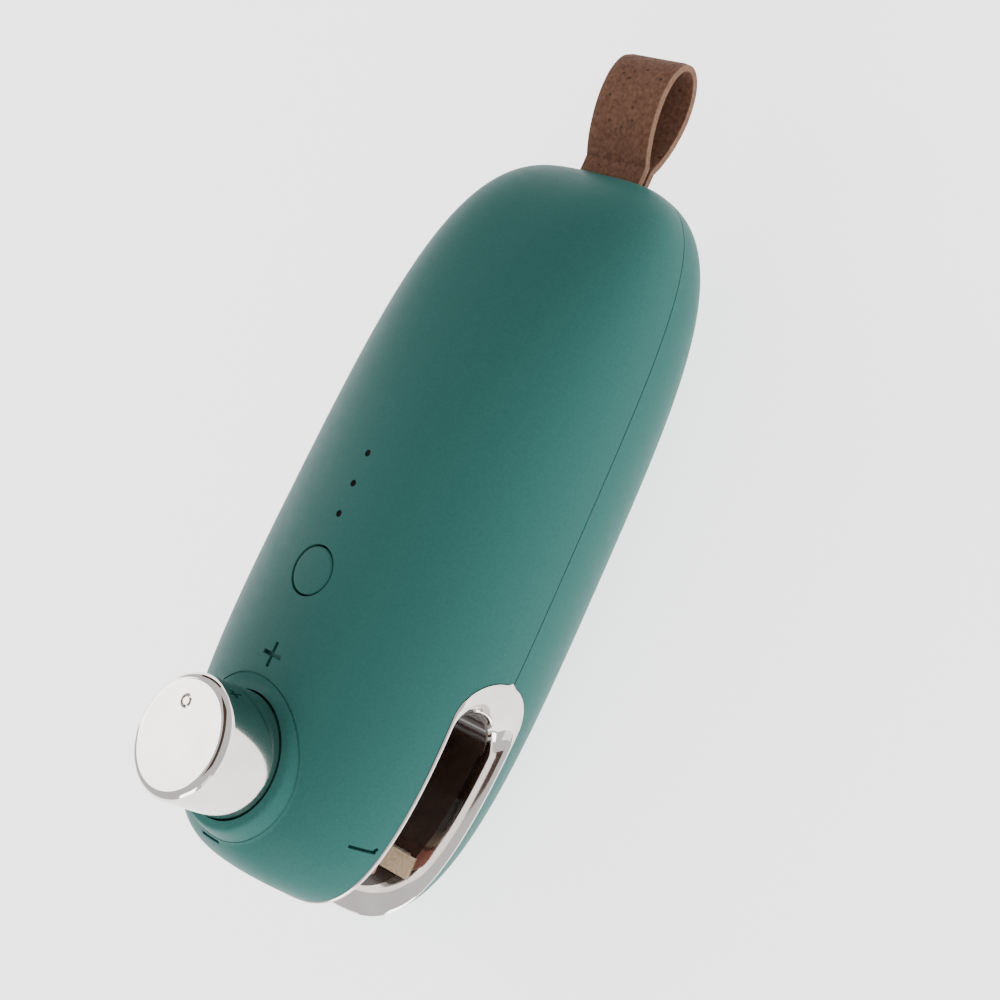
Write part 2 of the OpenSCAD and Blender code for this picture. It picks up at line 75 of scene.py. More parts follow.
LEN, WIDTH, HEIGHT, TAPER = 110.0, 45.9, 41.2, 0.08
PLAN, RISE = ((2.7, 4.15), (4.5, 4.1)), ((4.9, 4.5), (2.1, 2.23))
KNOB_Y, KNOB_R, BUTTON_Y, BUTTON_R = -40.4, 8.75, -13.7, 3.5
SLOT_Y, SLOT_Z, DIP, SLOT_R = -22.95, 0.42, math.radians(4.2), 6.65
UP, DOWN = 5.4, 5.0
LEDS = [-0.8 + 4.5 * k for k in (-1, 0, 1)]
WALL, FOOT_CUT = 1.8, 1.1
USB_Y, SCREW_PLACES = 20.5, ((12.5, 33), (15, -14.5))
TRIM_FIT, TRIM_DEPTH, TRIM_PROUD = 0.05, 3.6, 0.15


def curve(u, powers):
    """Share of the full width or height at u, with one pair of powers for each end."""
    p = np.where(u < 0, powers[0][0], powers[1][0])
    q = np.where(u < 0, powers[0][1], powers[1][1])
    return np.maximum(1e-9, 1 - np.abs(u) ** p) ** (1 / q)


def section(u):
    """Power of the cross-section's superellipse."""
    return 2.17 + 0.83 * np.maximum(0, u) ** 2


def half_w(u, inset=0.0):
    return (WIDTH / 2 * (1 - TAPER * u) - inset) * curve(u, PLAN)


def half_h(u, inset=0.0):
    return (HEIGHT / 2 - inset) * curve(u, RISE)


def skin_z(x, y, inset=0.0):
    """Height of the upper skin above the seam."""
    u = np.clip(y / (LEN / 2 - inset), -0.9999, 0.9999)
    q = section(u)
    f = np.clip(1 - (np.abs(x) / half_w(u, inset)) ** q, 0, 1)
    return half_h(u, inset) * f ** (1 / q)


AXIS_Z = float(half_h(np.array(2 * KNOB_Y / LEN)))


def smooth(t):
    t = np.clip(t, 0, 1)
    return t * t * (3 - 2 * t)


def seat(x, y):
    """Rise of the collar around the knob: its rim is more level than the body under it."""
    r = np.hypot(x, y - KNOB_Y)
    z = skin_z(x, y)
    level = AXIS_Z + 0.4 * (z - AXIS_Z) + 0.12
    return np.where(r < 12.2, (1 - smooth((r - 9.9) / 1.6)) * (level - z), 0.0)


def form(p, inset):
    """Below 1 inside the skin: p is n by 3."""
    x, y, z = p[:, 0], p[:, 1], p[:, 2]
    if inset == 0:
        z = np.where(z > 4, z - seat(x, y), z)
    u = np.clip(y / (LEN / 2 - inset), -0.99999, 0.99999)
    q = section(u)
    return (np.abs(x) / half_w(u, inset)) ** q + (np.abs(z) / half_h(u, inset)) ** q


def gradient(p, inset):
    g = np.zeros_like(p)
    for k in range(3):
        d = np.zeros(3)
        d[k] = 0.01
        g[:, k] = form(p + d, inset) - form(p - d, inset)
    n = np.linalg.norm(g, axis=1, keepdims=True)
    return g / np.maximum(n, 1e-12)


def closed_body(name, inset, n_len, n_turn, collar=False):
    """The whole body as a fine closed mesh."""
    s = np.linspace(-1, 1, n_len + 1)[1:-1]
    u = np.sign(s) * (1 - (1 - np.abs(s)) ** 1.9)
    t = np.linspace(0, 2 * math.pi, n_turn, endpoint=False)
    uu, tt = np.meshgrid(u, t, indexing="ij")
    q = 2 / section(uu)
    x = half_w(uu, inset) * np.sign(np.cos(tt)) * np.abs(np.cos(tt)) ** q
    z = half_h(uu, inset) * np.sign(np.sin(tt)) * np.abs(np.sin(tt)) ** q
    y = uu * (LEN / 2 - inset)
    if collar:
        z = np.where(z > 4, z + seat(x, y), z)
    pts = np.stack([x, y, z], -1).reshape(-1, 3)
    end = LEN / 2 - inset
    pts = np.vstack([[0, -end, 0], pts, [0, end, 0]])
    rows = len(u)
    faces = [(0, 1 + j, 1 + (j + 1) % n_turn) for j in range(n_turn)]
    for i in range(rows - 1):
        a = 1 + i * n_turn
        b = a + n_turn
        faces += [(a + j, b + j, b + (j + 1) % n_turn, a + (j + 1) % n_turn) for j in range(n_turn)]
    last = len(pts) - 1
    a = 1 + (rows - 1) * n_turn
    faces += [(last, a + (j + 1) % n_turn, a + j) for j in range(n_turn)]
    return make(name, pts, faces)


# ---------------------------------------------------------------- mesh tools

def make(name, pts, faces):
    """A mesh object from points in mm above the seam."""
    pts = (np.asarray(pts, float) + [0, 0, SEAM]) * MM
    mesh = bpy.data.meshes.new(name)
    mesh.from_pydata(pts.tolist(), [], [tuple(int(i) for i in f) for f in faces])
    bm = bmesh.new()
    bm.from_mesh(mesh)
    bmesh.ops.recalc_face_normals(bm, faces=bm.faces)
    bm.to_mesh(mesh)
    bm.free()
    obj = bpy.data.objects.new(name, mesh)
    bpy.context.scene.collection.objects.link(obj)
    return obj


def prism(name, outline, low, high, axis):
    """A closed outline drawn out along x (outline in y, z) or z (outline in x, y)."""
    n = len(outline)
    if axis == "x":
        pts = [(h, a, b) for h in (low, high) for a, b in outline]
    else:
        pts = [(a, b, h) for h in (low, high) for a, b in outline]
    faces = [tuple(range(n)), tuple(range(2 * n - 1, n - 1, -1))]
    faces += [(k, (k + 1) % n, n + (k + 1) % n, n + k) for k in range(n)]
    return make(name, pts, faces)


def circle(cx, cy, r, n):
    turns = [2 * math.pi * k / n for k in range(n)]
    return [(cx + r * math.cos(a), cy + r * math.sin(a)) for a in turns]


def cut(obj, tools):
    """Cuts the tools' shapes from obj, removes the tools and welds what the cuts leave."""
    for tool in tools:
        m = obj.modifiers.new("cut", "BOOLEAN")
        m.operation, m.solver, m.object = "DIFFERENCE", "EXACT", tool
    view = bpy.context.view_layer
    view.update()
    done = bpy.data.meshes.new_from_object(obj.evaluated_get(view.depsgraph))
    obj.modifiers.clear()
    obj.data = done
    for tool in tools:
        bpy.data.objects.remove(tool)
    bm = bmesh.new()
    bm.from_mesh(done)
    bmesh.ops.remove_doubles(bm, verts=bm.verts, dist=2e-7)
    bmesh.ops.dissolve_degenerate(bm, edges=bm.edges, dist=2e-7)
    bm.to_mesh(done)
    bm.free()
    return obj


def shade(obj, insets=(), sharp=32):
    """Smooth shading with normals from the form where a face lies on a skin, and by angle elsewhere."""
    mesh = obj.data
    for p in mesh.polygons:
        p.use_smooth = True
    mesh.set_sharp_from_angle(angle=math.radians(sharp))
    if not insets:
        return obj
    loops = len(mesh.loops)
    normals = np.zeros(loops * 3)
    mesh.corner_normals.foreach_get("vector", normals)
    normals = normals.reshape(-1, 3)
    verts = np.zeros(len(mesh.vertices) * 3)
    mesh.vertices.foreach_get("co", verts)
    pts = verts.reshape(-1, 3) / MM - [0, 0, SEAM]
    lv = np.zeros(loops, int)
    mesh.loops.foreach_get("vertex_index", lv)
    pn = np.zeros(len(mesh.polygons) * 3)
    mesh.polygons.foreach_get("normal", pn)
    pn = pn.reshape(-1, 3)
    count = np.zeros(len(mesh.polygons), int)
    mesh.polygons.foreach_get("loop_total", count)
    face_of = np.repeat(np.arange(len(count)), count)
    for inset, flip in insets:
        f = np.abs(form(pts, inset) - 1)
        g = gradient(pts, inset) * (-1 if flip else 1)
        near = (f < 0.03) & (np.abs(pts[:, 1]) < LEN / 2 - 0.15)
        bad = np.zeros(len(count), bool)
        np.logical_or.at(bad, face_of, ~near[lv])
        agree = np.einsum("ij,ij->i", g[lv], pn[face_of]) > 0.86
        np.logical_or.at(bad, face_of, ~agree)
        use = ~bad[face_of]
        normals[use] = g[lv][use]
    mesh.normals_split_custom_set(normals.tolist())
    return obj


def on_slot(a, b):
    """A point of the slot's own plane as (y, z)."""
    c, s = math.cos(DIP), math.sin(DIP)
    return SLOT_Y + a * c - b * s, SLOT_Z + a * s + b * c


def slot_tool(name, up, down, end, x):
    """The slot's outline from the side, dipping to the front, drawn out to x on both sides."""
    r = (up + down) / 2
    mid = (up - down) / 2
    turns = np.linspace(-math.pi / 2, math.pi / 2, 49)
    arc = [(end - r + r * math.cos(a), mid + r * math.sin(a)) for a in turns]
    outline = [(-60, -down)] + arc + [(-60, up)]
    return prism(name, [on_slot(a, b) for a, b in outline], -x, x, "x")


def block(centre, axes, sizes):
    """A box with its own axes, in mm above the seam."""
    pts, c = [], Vector(centre)
    for i in (-1, 1):
        for j in (-1, 1):
            for k in (-1, 1):
                p = c + axes[0] * i * sizes[0] / 2
                p += axes[1] * j * sizes[1] / 2
                p += axes[2] * k * sizes[2] / 2
                pts.append(tuple(p))
    faces = [(0, 1, 3, 2), (4, 6, 7, 5), (0, 4, 5, 1), (2, 3, 7, 6), (0, 2, 6, 4), (1, 5, 7, 3)]
    return make("mark", pts, faces)


def mark(a, b, width, depth=0.7):
    """A cutter for a short groove in the upper skin between two points given as (x, y)."""
    pa = Vector((a[0], a[1], float(skin_z(np.array(a[0]), np.array(a[1])))))
    pb = Vector((b[0], b[1], float(skin_z(np.array(b[0]), np.array(b[1])))))
    mid = (pa + pb) / 2
    n = Vector(gradient(np.array([[*mid]]), 0)[0])
    along = (pb - pa).normalized()
    across = n.cross(along).normalized()
    n = along.cross(across).normalized()
    top = n * (1.0 - depth)
    return block(mid + top, (along, across, n), ((pb - pa).length + width, width, 2.0))


def seat_groove():
    """A ring cutter that follows the skin and draws the collar's outer edge."""
    pts, n = [], 160
    for k in range(n):
        a = 2 * math.pi * k / n
        for r, lift in ((11.02, -0.16), (11.26, -0.16), (11.34, 3.0), (10.94, 3.0)):
            x, y = r * math.cos(a), KNOB_Y + r * math.sin(a)
            z = float(skin_z(np.array(x), np.array(y))) + float(seat(np.array(x), np.array(y)))
            pts.append((x, y, z + lift))
    faces = []
    for k in range(n):
        b = (k + 1) % n
        sides = [(i, (i + 1) % 4) for i in range(4)]
        faces += [(k * 4 + i, k * 4 + j, b * 4 + j, b * 4 + i) for i, j in sides]
    return make("seat_groove", pts, faces)


# ---------------------------------------------------------------- materials

def ramp(nt, src, stops):
    node = nt.nodes.new("ShaderNodeValToRGB")
    els = node.color_ramp.elements
    while len(els) < len(stops):
        els.new(0.5)
    for e, (at, col) in zip(els, stops):
        e.position = at
        e.color = (*col, 1)
    nt.links.new(src, node.inputs["Fac"])
    return node.outputs["Color"]


def material(name, dark, light, rough, metal=0.0, scale=900.0, spread=(0.35, 0.65), bump=0.02,
             bump_scale=None, detail=4.0, rough_var=0.05, coat=0.0, spec=0.5, sheen=0.0, trans=0.0,
             glow=None, distance=0.0002, ior=1.5):
    """Two tones mixed by fine noise, with roughness and bump from noise as well."""
    mat = bpy.data.materials.new(name)
    mat.use_nodes = True
    nt = mat.node_tree
    shader = nt.nodes["Principled BSDF"]
    coord = nt.nodes.new("ShaderNodeTexCoord").outputs["Object"]

    def noise(s):
        n = nt.nodes.new("ShaderNodeTexNoise")
        n.inputs["Scale"].default_value = s
        n.inputs["Detail"].default_value = detail
        nt.links.new(coord, n.inputs["Vector"])
        return n.outputs["Fac"]

    tones = ramp(nt, noise(scale), [(spread[0], dark), (spread[1], light)])
    nt.links.new(tones, shader.inputs["Base Color"])
    lo, hi = max(0.02, rough - rough_var), min(1.0, rough + rough_var)
    gloss = ramp(nt, noise(scale * 0.21), [(0.3, (lo,) * 3), (0.7, (hi,) * 3)])
    nt.links.new(gloss, shader.inputs["Roughness"])
    shader.inputs["Metallic"].default_value = metal
    shader.inputs["Coat Weight"].default_value = coat
    shader.inputs["Specular IOR Level"].default_value = spec
    shader.inputs["IOR"].default_value = ior
    shader.inputs["Sheen Weight"].default_value = sheen
    shader.inputs["Transmission Weight"].default_value = trans
    if glow:
        shader.inputs["Emission Color"].default_value = (*glow[0], 1)
        shader.inputs["Emission Strength"].default_value = glow[1]
    if bump:
        b = nt.nodes.new("ShaderNodeBump")
        b.inputs["Strength"].default_value = bump
        b.inputs["Distance"].default_value = distance
        nt.links.new(noise(bump_scale or scale * 2), b.inputs["Height"])
        nt.links.new(b.outputs["Normal"], shader.inputs["Normal"])
    return mat


def mixed(nt, factor, first, second):
    """The first colour, a socket, with the second, a value, laid over it by factor."""
    mix = nt.nodes.new("ShaderNodeMix")
    mix.data_type = "RGBA"
    nt.links.new(factor, mix.inputs["Factor"])
    nt.links.new(first, mix.inputs["A"])
    mix.inputs["B"].default_value = (*second, 1)
    return mix.outputs["Result"]


def remapped(nt, src, from_min, from_max, to_min, to_max):
    node = nt.nodes.new("ShaderNodeMapRange")
    ends = {"From Min": from_min, "From Max": from_max, "To Min": to_min, "To Max": to_max}
    for key, value in ends.items():
        node.inputs[key].default_value = value
    nt.links.new(src, node.inputs["Value"])
    return node.outputs["Result"]


def add_leather_detail(mat):
    """Paler colour near both side edges of the strap, which is the raw cut edges' own tone together with a
    painted edge highlight, and dark specks.
    """
    nt = mat.node_tree
    shader = nt.nodes["Principled BSDF"]
    tones = shader.inputs["Base Color"].links[0].from_socket
    coord = nt.nodes.new("ShaderNodeTexCoord").outputs["Object"]
    xyz = nt.nodes.new("ShaderNodeSeparateXYZ")
    nt.links.new(coord, xyz.inputs[0])
    from_middle = nt.nodes.new("ShaderNodeMath")
    from_middle.operation = "ABSOLUTE"
    nt.links.new(xyz.outputs["X"], from_middle.inputs[0])
    # Painted highlight near both side edges: the strap's outermost quarter millimetre is mixed towards pale
    # tan, which also stands for the raw cut edge's own tone.
    edge_highlight_band = remapped(nt, from_middle.outputs[0], 0.00555, 0.00575, 0.0, 0.22)
    pale_edge_and_highlight = mixed(nt, edge_highlight_band, tones, (0.34, 0.22, 0.15))
    cells = nt.nodes.new("ShaderNodeTexVoronoi")
    cells.inputs["Scale"].default_value = 620
    nt.links.new(coord, cells.inputs["Vector"])
    speck = remapped(nt, cells.outputs["Distance"], 0.10, 0.17, 0.75, 0.0)
    nt.links.new(mixed(nt, speck, pale_edge_and_highlight, (0.030, 0.012, 0.008)), shader.inputs["Base Color"])


green = material("soft_touch_green", (0.028, 0.112, 0.100), (0.032, 0.122, 0.110), 0.48, scale=2600,
                 bump=0.10, bump_scale=9000, rough_var=0.03, spec=0.4, ior=1.17, distance=0.00004)
chrome = material("warm_chrome", (0.64, 0.60, 0.575), (0.72, 0.68, 0.655), 0.07, metal=1.0, scale=160,
                  bump=0.03, bump_scale=260, rough_var=0.025, distance=0.00003)
brown_gloss = material("gloss_brown", (0.020, 0.011, 0.008), (0.030, 0.017, 0.012), 0.16, scale=700,
                       bump=0.04, coat=0.5, rough_var=0.05, distance=0.00005)
leather = material("brown_suede", (0.106, 0.046, 0.027), (0.200, 0.098, 0.061), 0.92, scale=1500,
                   spread=(0.30, 0.72), bump=0.8, bump_scale=2600, detail=9, rough_var=0.05, spec=0.12,
                   sheen=0.08, distance=0.00022)
add_leather_detail(leather)
tape = material("coated_glass_cloth", (0.45, 0.33, 0.20), (0.60, 0.47, 0.31), 0.45, scale=1900,
                bump=0.5, bump_scale=3600, distance=0.00006)
steel = material("steel", (0.46, 0.46, 0.47), (0.60, 0.60, 0.61), 0.28, metal=1.0, scale=1200,
                 bump=0.12, distance=0.00004)
brass = material("brass", (0.62, 0.42, 0.16), (0.78, 0.56, 0.25), 0.26, metal=1.0, scale=1100,
                 bump=0.1, distance=0.00004)
silicone = material("silicone", (0.16, 0.055, 0.035), (0.21, 0.075, 0.048), 0.62, scale=1500,
                    bump=0.25, distance=0.00005)
white_part = material("white_moulding", (0.68, 0.67, 0.63), (0.76, 0.75, 0.71), 0.48, scale=1300,
                      bump=0.12, distance=0.00005)
black_part = material("black_moulding", (0.012, 0.012, 0.013), (0.022, 0.022, 0.023), 0.46, scale=1300,
                      bump=0.2, distance=0.00005)
board = material("solder_mask", (0.010, 0.075, 0.035), (0.015, 0.105, 0.050), 0.3, scale=900,
                 bump=0.15, coat=0.3, distance=0.00005)
clear = material("clear_plastic", (0.72, 0.76, 0.76), (0.84, 0.87, 0.87), 0.12, scale=900, bump=0.03,
                 trans=0.7)
sleeve = material("cell_sleeve", (0.035, 0.09, 0.28), (0.05, 0.125, 0.36), 0.28, scale=700, bump=0.08)
nickel = material("nickel", (0.50, 0.48, 0.44), (0.66, 0.64, 0.60), 0.22, metal=1.0, scale=1000,
                  bump=0.08, distance=0.00004)
rubber = material("foot_rubber", (0.016, 0.018, 0.018), (0.028, 0.030, 0.030), 0.78, scale=1700,
                  bump=0.5, bump_scale=3000, distance=0.00008)
ceramic = material("heat_proof_bed", (0.60, 0.57, 0.49), (0.70, 0.67, 0.59), 0.7, scale=1600, bump=0.3,
                   distance=0.00006)
red_wire = material("red_insulation", (0.30, 0.018, 0.014), (0.42, 0.03, 0.022), 0.42, scale=900,
                    bump=0.08)

smoke = material("smoked_lens", (0.006, 0.006, 0.007), (0.011, 0.011, 0.012), 0.7, scale=900,
                 bump=0.04, spec=0.03)

FINISH = {
    "shell_green": green, "chrome": chrome, "jaw_brown": brown_gloss, "ceramic": ceramic, "nichrome": steel,
    "ptfe": tape, "brass": brass, "wire_red": red_wire, "steel": steel, "silicone": silicone,
    "white_plastic": white_part, "black_plastic": black_part, "board_green": board, "clear_plastic": clear,
    "cell_blue": sleeve, "nickel": nickel, "foot_rubber": rubber, "leather": leather,
}
slots = {s["node"]: s["material_slot"] for s in frame["record"]["subparts"]}
for node, obj in NODES.items():
    if not obj.material_slots:
        obj.data.materials.append(None)
    for s in obj.material_slots:
        s.material = smoke if node == "light_pipes" else FINISH[slots[node]]


def piece(obj, mat, body, slot_name, *nodes):
    """Gives obj its material and body, and puts it in the place of the nodes."""
    obj.data.materials.clear()
    obj.data.materials.append(mat)
    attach(obj, body)
    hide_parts(*nodes)


# ---------------------------------------------------------------- shells

FINE = 1.0
GAP = 0.07
BEYOND = 40
LEVEL = (Vector((1, 0, 0)), Vector((0, 1, 0)), Vector((0, 0, 1)))
ALL_ROUND = [(-BEYOND, -70), (BEYOND, -70), (BEYOND, 70), (-BEYOND, 70)]


def marks():
    """Cutters for the plus, the minus and the dash with its short hook."""
    strokes = [((0, -27.6), (0, -24.6), 0.58), ((-1.5, -26.1), (1.5, -26.1), 0.58)]
    strokes += [((-3.0, -52.05), (0.4, -52.05), 0.58)]
    strokes += [((17.7, -44.3), (19.25, -43.8), 0.5), ((19.2, -43.8), (19.4, -43.35), 0.5)]
    return [mark(*stroke) for stroke in strokes]


def shell(name, top):
    """One half of the housing, with its openings; the seam's gap is left between the halves."""
    obj = closed_body(name, 0, int(230 * FINE), int(260 * FINE), collar=True)
    hollow = closed_body("hollow", WALL, int(90 * FINE), int(100 * FINE))
    low, high = (-BEYOND, GAP) if top else (-GAP, BEYOND)
    half = prism("half", ALL_ROUND, low, high, "z")
    tools = [hollow, half, slot_tool("slot", SLOT_R, SLOT_R, SLOT_R, BEYOND)]
    tools.append(block((-24, USB_Y, 0.45), LEVEL, (16, 8.2, 3.3)))
    tools.append(block((0, 56, 0), LEVEL, (12.3, 8, 3.4)))
    if top:
        tools.append(prism("knob_hole", circle(0, KNOB_Y, KNOB_R + 0.2, 128), 8, BEYOND, "z"))
        tools.append(prism("button_hole", circle(0, BUTTON_Y, BUTTON_R + 0.2, 96), 8, BEYOND, "z"))
        tools += [prism("led_hole", circle(0, y, 0.5, 40), 8, BEYOND, "z") for y in LEDS]
        tools += marks()
        tools.append(seat_groove())
    else:
        tools.append(prism("foot_flat", ALL_ROUND, -BEYOND, FOOT_CUT - HEIGHT / 2, "z"))
        for x, y in SCREW_PLACES:
            tools += [prism("screw_hole", circle(s * x, y, 2.1, 40), -30, -12, "z") for s in (-1, 1)]
    cut(obj, tools)
    return shade(obj, [(0, False), (WALL, True)])


piece(shell("upper_housing", True), green, "root", "shell_green", "upper_shell")
piece(shell("lower_housing", False), green, "root", "shell_green", "lower_shell")

# ---------------------------------------------------------------- chrome trim

def reach(start, ray, inset):
    """How far from each start point along its ray the skin at this inset lies."""
    lo, hi = np.zeros(len(start)), np.full(len(start), 58.0)
    for _ in range(34):
        mid = (lo + hi) / 2
        inner = form(start + ray * mid[:, None], inset) < 1
        lo, hi = np.where(inner, mid, lo), np.where(inner, hi, mid)
    return lo


def trim_loop(w_up, w_down, w_end, inset, n_front, n_arc):
    """The closed line round the mouth at one offset of the slot's outline and one depth below the skin."""
    edge = SLOT_R - TRIM_FIT
    up, down, end = edge - w_up, edge - w_down, edge - w_end
    r, mid = (up + down) / 2, (up - down) / 2
    loop = []
    for sign in (-1, 1):
        level = up if sign > 0 else -down
        t = np.radians(np.linspace(-90, 90, n_front) * -sign)
        ray = np.stack([np.sin(t), -np.cos(t), 0 * t], -1)
        dist = np.full(n_front, 14.0)
        y0 = on_slot(end - r, level)[0]
        for _ in range(9):
            z = on_slot(end - r - dist * np.cos(t), level)[1]
            dist = reach(np.stack([0 * t, 0 * t + y0, z], -1), ray, inset)
        loop.append(np.stack([dist * np.sin(t), y0 - dist * np.cos(t), z], -1))
        a = np.radians(np.linspace(-90, 90, n_arc)[1:-1] * -sign)
        y, z = on_slot(end - r + r * np.cos(a), mid + r * np.sin(a))
        # The lip's outer edge runs out to a small point where it meets the seam.
        y = y + max(0.0, 0.5 - w_end) * np.exp(-((z - 0.3) / 0.5) ** 2)
        x = reach(np.stack([0 * y, y, z], -1), np.array([[1.0, 0, 0]] * len(y)), inset)
        loop.append(np.stack([-sign * x, y, z], -1))
    return np.vstack(loop)


def trim_mesh():
    """The lip: its cross-section is (share of the lip's width, depth below the skin)."""
    lip_up, lip_down, lip_end = SLOT_R - TRIM_FIT - UP, SLOT_R - TRIM_FIT - DOWN, 5.25
    rim = [(0.0, TRIM_DEPTH), (0.0, 1.2), (0.0, 0.05), (0.06, -0.10), (0.2, -TRIM_PROUD), (0.34, -0.12)]
    slope = [(0.34 + 0.66 * k / 6, -0.12 + 2.5 * (k / 6) ** 1.35) for k in range(1, 7)]
    wall = [(1.0, 3.0), (1.0, TRIM_DEPTH)]
    n_front = 121
    loops = []
    for w, d in rim + slope + wall:
        widths = (w, w, w) if w < 0.2 else (lip_up * w, lip_down * w, lip_end * w)
        loops.append(trim_loop(*widths, d, n_front, 41))
    n, m = len(loops[0]), len(loops)
    pts = np.stack(loops, 1).reshape(-1, 3)
    faces = []
    for k in range(n):
        b = (k + 1) % n
        faces += [(k * m + i, k * m + (i + 1) % m, b * m + (i + 1) % m, b * m + i) for i in range(m)]
    return make("mouth_trim_ring", pts, faces)


piece(shade(trim_mesh(), sharp=50), chrome, "root", "chrome", "mouth_trim")

# ---------------------------------------------------------------- knob cap

def weld(obj):
    """Joins doubled points, such as those on the axis, and turns the faces outwards."""
    bm = bmesh.new()
    bm.from_mesh(obj.data)
    bmesh.ops.remove_doubles(bm, verts=bm.verts, dist=1e-7)
    bmesh.ops.dissolve_degenerate(bm, edges=bm.edges, dist=1e-8)
    bmesh.ops.recalc_face_normals(bm, faces=bm.faces)
    bm.to_mesh(obj.data)
    bm.free()
    return obj


def lathe(name, profile, n, centre):
    """A closed ring of (radius, height) points turned about a vertical axis."""
    pts, faces, m = [], [], len(profile)
    for k in range(n):
        a = 2 * math.pi * k / n
        pts += [(centre[0] + r * math.cos(a), centre[1] + r * math.sin(a), z) for r, z in profile]
    for k in range(n):
        b = (k + 1) % n
        faces += [(k * m + i, k * m + (i + 1) % m, b * m + (i + 1) % m, b * m + i) for i in range(m)]
    return weld(make(name, pts, faces))


def knob_mesh():
    """The chrome cover: a thin cup with a rounded edge and a small ring mark on top."""
    top, bottom = AXIS_Z + 10, AXIS_Z - 2.8
    edge, thick = 1.3, 0.9
    turns = np.linspace(0, math.pi / 2, 14)
    profile = [(r, top) for r in (0.0, 2.0, 3.4, 5.2, 6.6)]
    profile += [(KNOB_R - edge + edge * math.sin(a), top - edge + edge * math.cos(a)) for a in turns]
    profile += [(KNOB_R, bottom + 0.15), (KNOB_R - 0.15, bottom), (KNOB_R - thick, bottom)]
    profile += [(KNOB_R - thick, top - 1.6), (KNOB_R - 1.6, top - thick), (0.0, top - thick)]
    cap = lathe("knob_cover", profile, 160, (0, KNOB_Y))
    spot, from_axis = math.radians(108.7), 4.57
    ring_at = (from_axis * math.cos(spot), KNOB_Y + from_axis * math.sin(spot))
    ring = [(0.58, top - 0.5), (1.0, top - 0.5), (1.06, top + 1), (0.52, top + 1)]
    cut(cap, [lathe("groove", ring, 48, ring_at)])
    return shade(cap, sharp=25)


piece(knob_mesh(), chrome, "knob", "chrome", "knob_cap")

# ---------------------------------------------------------------- power button

def button_mesh(n=96):
    """A cap that follows the skin with a soft edge, on a flange and a stem."""
    face = [(r, 0.06) for r in (0.0, 0.7, 1.4, 2.1, 2.7, 3.05)] + [(3.26, 0.07), (3.38, 0.12), (3.42, 0.22)]
    flange = float(skin_z(np.array(0.0), np.array(BUTTON_Y), WALL)) - 0.4
    under = [(3.42, flange), (4.4, flange), (4.4, flange - 0.8)]
    under += [(1.4, flange - 0.8), (1.4, 16.0), (0.0, 16.0)]
    pts, faces, m = [], [], len(face) + len(under)
    for k in range(n):
        a = 2 * math.pi * k / n
        for r, sunk in face:
            x, y = r * math.cos(a), BUTTON_Y + r * math.sin(a)
            pts.append((x, y, float(skin_z(np.array(x), np.array(y))) - sunk))
        pts += [(r * math.cos(a), BUTTON_Y + r * math.sin(a), z) for r, z in under]
        b = (k + 1) % n
        faces += [(k * m + i, k * m + i + 1, b * m + i + 1, b * m + i) for i in range(m - 1)]
    return shade(weld(make("power_key", pts, faces)), sharp=40)


piece(button_mesh(), green, "button", "shell_green", "power_button")

# ---------------------------------------------------------------- return spring

def coil(name, centre, r, wire, low, high, turns, sides, per_turn):
    """A helical spring between two levels, capped at both ends."""
    pts, steps = [], turns * per_turn
    for k in range(steps + 1):
        a = 2 * math.pi * k / per_turn
        z = low + wire + (high - low - 2 * wire) * k / steps
        for j in range(sides):
            b = 2 * math.pi * j / sides
            d = r + wire * math.cos(b)
            pts.append((centre[0] + d * math.cos(a), centre[1] + d * math.sin(a), z + wire * math.sin(b)))
    faces = [tuple(range(sides)), tuple(steps * sides + j for j in reversed(range(sides)))]
    for k in range(steps):
        for j in range(sides):
            a, b = k * sides + j, k * sides + (j + 1) % sides
            faces.append((a, a + sides, b + sides, b))
    return make(name, pts, faces)


SPRING_LOW, SPRING_HIGH, TRAVEL = 7.7, 19.4, 7.0
spring = coil("press_spring", (0, KNOB_Y), 6.25, 0.3, SPRING_LOW, SPRING_HIGH, 5, 8, 24)
shade(spring, sharp=60)
piece(spring, steel, "root", "steel", "return_spring")
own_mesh(spring)

# ---------------------------------------------------------------- strap

def drop(neck, tip, half, count):
    """The loop from the side as (y, z): a drop that starts and ends at the neck."""
    s = np.linspace(0, 2 * math.pi, count, endpoint=False)
    a = (1 - np.cos(s)) / 2
    z = half * np.sin(s) * np.abs(np.sin(s / 2)) ** 0.6 + 1.3 * a
    return neck + (tip - neck) * a, z


def strap_mesh(thick=1.2, width=11.6, cols=13):
    """One band from the pin, round the loop and back to the pin."""
    loop_y, loop_z = drop(56.9, 73.2, 3.8, 96)
    lead = [(50.0, 0.62), (52.0, 0.62), (54.0, 0.63), (56.0, 0.66)]
    path = lead + [(float(y), float(z)) for y, z in zip(loop_y[7:-6], loop_z[7:-6])]
    path += [(y, -z) for y, z in reversed(lead)]
    pts, faces, count = [], [], len(path)
    for i in range(count):
        a = np.array(path[max(0, i - 1)])
        b = np.array(path[min(count - 1, i + 1)])
        d = (b - a) / np.linalg.norm(b - a)
        out = np.array([-d[1], d[0]])
        for side_of in (1, -1):
            for j in range(cols):
                x = -width / 2 + width * j / (cols - 1)
                softened = 0.16 if j in (0, cols - 1) else 0.0
                uneven = 0.98 + 0.02 * math.sin(7 * i + 3 * j)
                p = np.array(path[i]) + out * side_of * (thick / 2 - softened) * uneven
                pts.append((x, float(p[0]), float(p[1])))
    for i in range(count - 1):
        a, b = i * 2 * cols, (i + 1) * 2 * cols
        for j in range(cols - 1):
            faces.append((a + j, a + j + 1, b + j + 1, b + j))
            faces.append((a + j + cols, b + j + cols, b + j + cols + 1, a + j + cols + 1))
        for j in (0, cols - 1):
            faces.append((a + j, b + j, b + j + cols, a + j + cols))
    for i in (0, count - 1):
        a = i * 2 * cols
        faces += [(a + j, a + j + 1, a + cols + j + 1, a + cols + j) for j in range(cols - 1)]
    return shade(make("wrist_strap", pts, faces), sharp=50)


piece(strap_mesh(), leather, "root", "leather", "strap")

# ---------------------------------------------------------------- floor and light

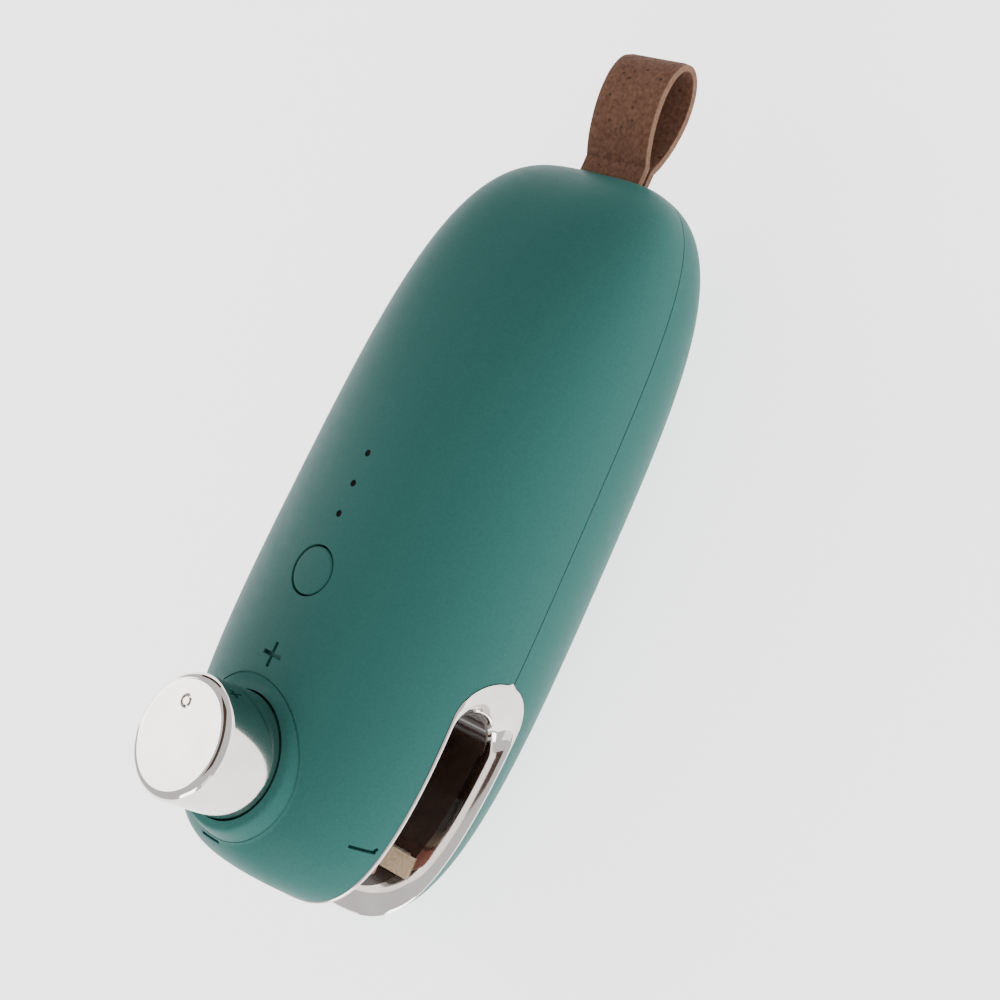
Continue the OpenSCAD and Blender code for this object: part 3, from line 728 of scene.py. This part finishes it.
def plane(name, centre, look, width, height, mat):
    """A staged card that faces the point look."""
    obj = make(name, [(-1, -1, 0), (1, -1, 0), (1, 1, 0), (-1, 1, 0)], [(0, 1, 2, 3)])
    for v, (a, b) in zip(obj.data.vertices, ((-1, -1), (1, -1), (1, 1), (-1, 1))):
        v.co = (a * width / 2, b * height / 2, 0)
    c = Vector(centre)
    facing = (Vector(look) - c).to_track_quat("Z", "Y").to_matrix().to_4x4()
    obj.matrix_world = Matrix.Translation(c) @ facing
    obj.data.materials.append(mat)
    return obj


floor_mat = material("pale_floor", (0.90, 0.90, 0.90), (0.93, 0.93, 0.93), 0.85, scale=6, bump=0.0,
                     spec=0.1, glow=((1, 1, 1), 2.1))
plane("floor", (0, 0, 0), (0, 0, 1), 6, 6, floor_mat)

world = bpy.data.worlds.new("studio")
bpy.context.scene.world = world
world.use_nodes = True
world.node_tree.nodes["Background"].inputs["Color"].default_value = (1, 1, 1, 1)
world.node_tree.nodes["Background"].inputs["Strength"].default_value = 1.0

dark_card = material("dark_card", (0.030, 0.020, 0.016), (0.040, 0.028, 0.022), 0.9, scale=6, bump=0.0,
                     spec=0.05)
# Dark cards give the soft dark band along the top and the dark tail; the camera doesn't see them.
cards = [plane("overhead_card", (-0.02, 0.16, 0.75), (0, 0.05, 0.02), 0.42, 0.95, dark_card),
         plane("rear_card", (-0.56, 0.66, 0.17), (0, 0.05, 0.03), 0.55, 0.34, dark_card)]
for card in cards:
    card.visible_camera = False


def lamp(name, place, look, size, power, size_y=None):
    """A white area light at place that faces the point look."""
    data = bpy.data.lights.new(name, "AREA")
    data.energy, data.size = power, size
    if size_y:
        data.shape, data.size_y = "RECTANGLE", size_y
    obj = bpy.data.objects.new(name, data)
    obj.location = place
    obj.rotation_euler = (Vector(look) - Vector(place)).to_track_quat("-Z", "Y").to_euler()
    bpy.context.scene.collection.objects.link(obj)
    return obj


heart = (0, 0, 0.02)
lamp("side_right", (0.55, -0.60, 0.18), (0, -0.03, 0.02), 0.30, 0.6, size_y=0.5)
lamp("side_left", (-0.75, 0.0, 0.14), heart, 0.30, 3.2, size_y=0.9)
lamp("front", (0.10, -0.80, 0.30), heart, 0.4, 3.8)
lamp("knob_top", (-0.659, -0.124, 0.658), (0, -0.04, 0.05), 0.24, 0.8)
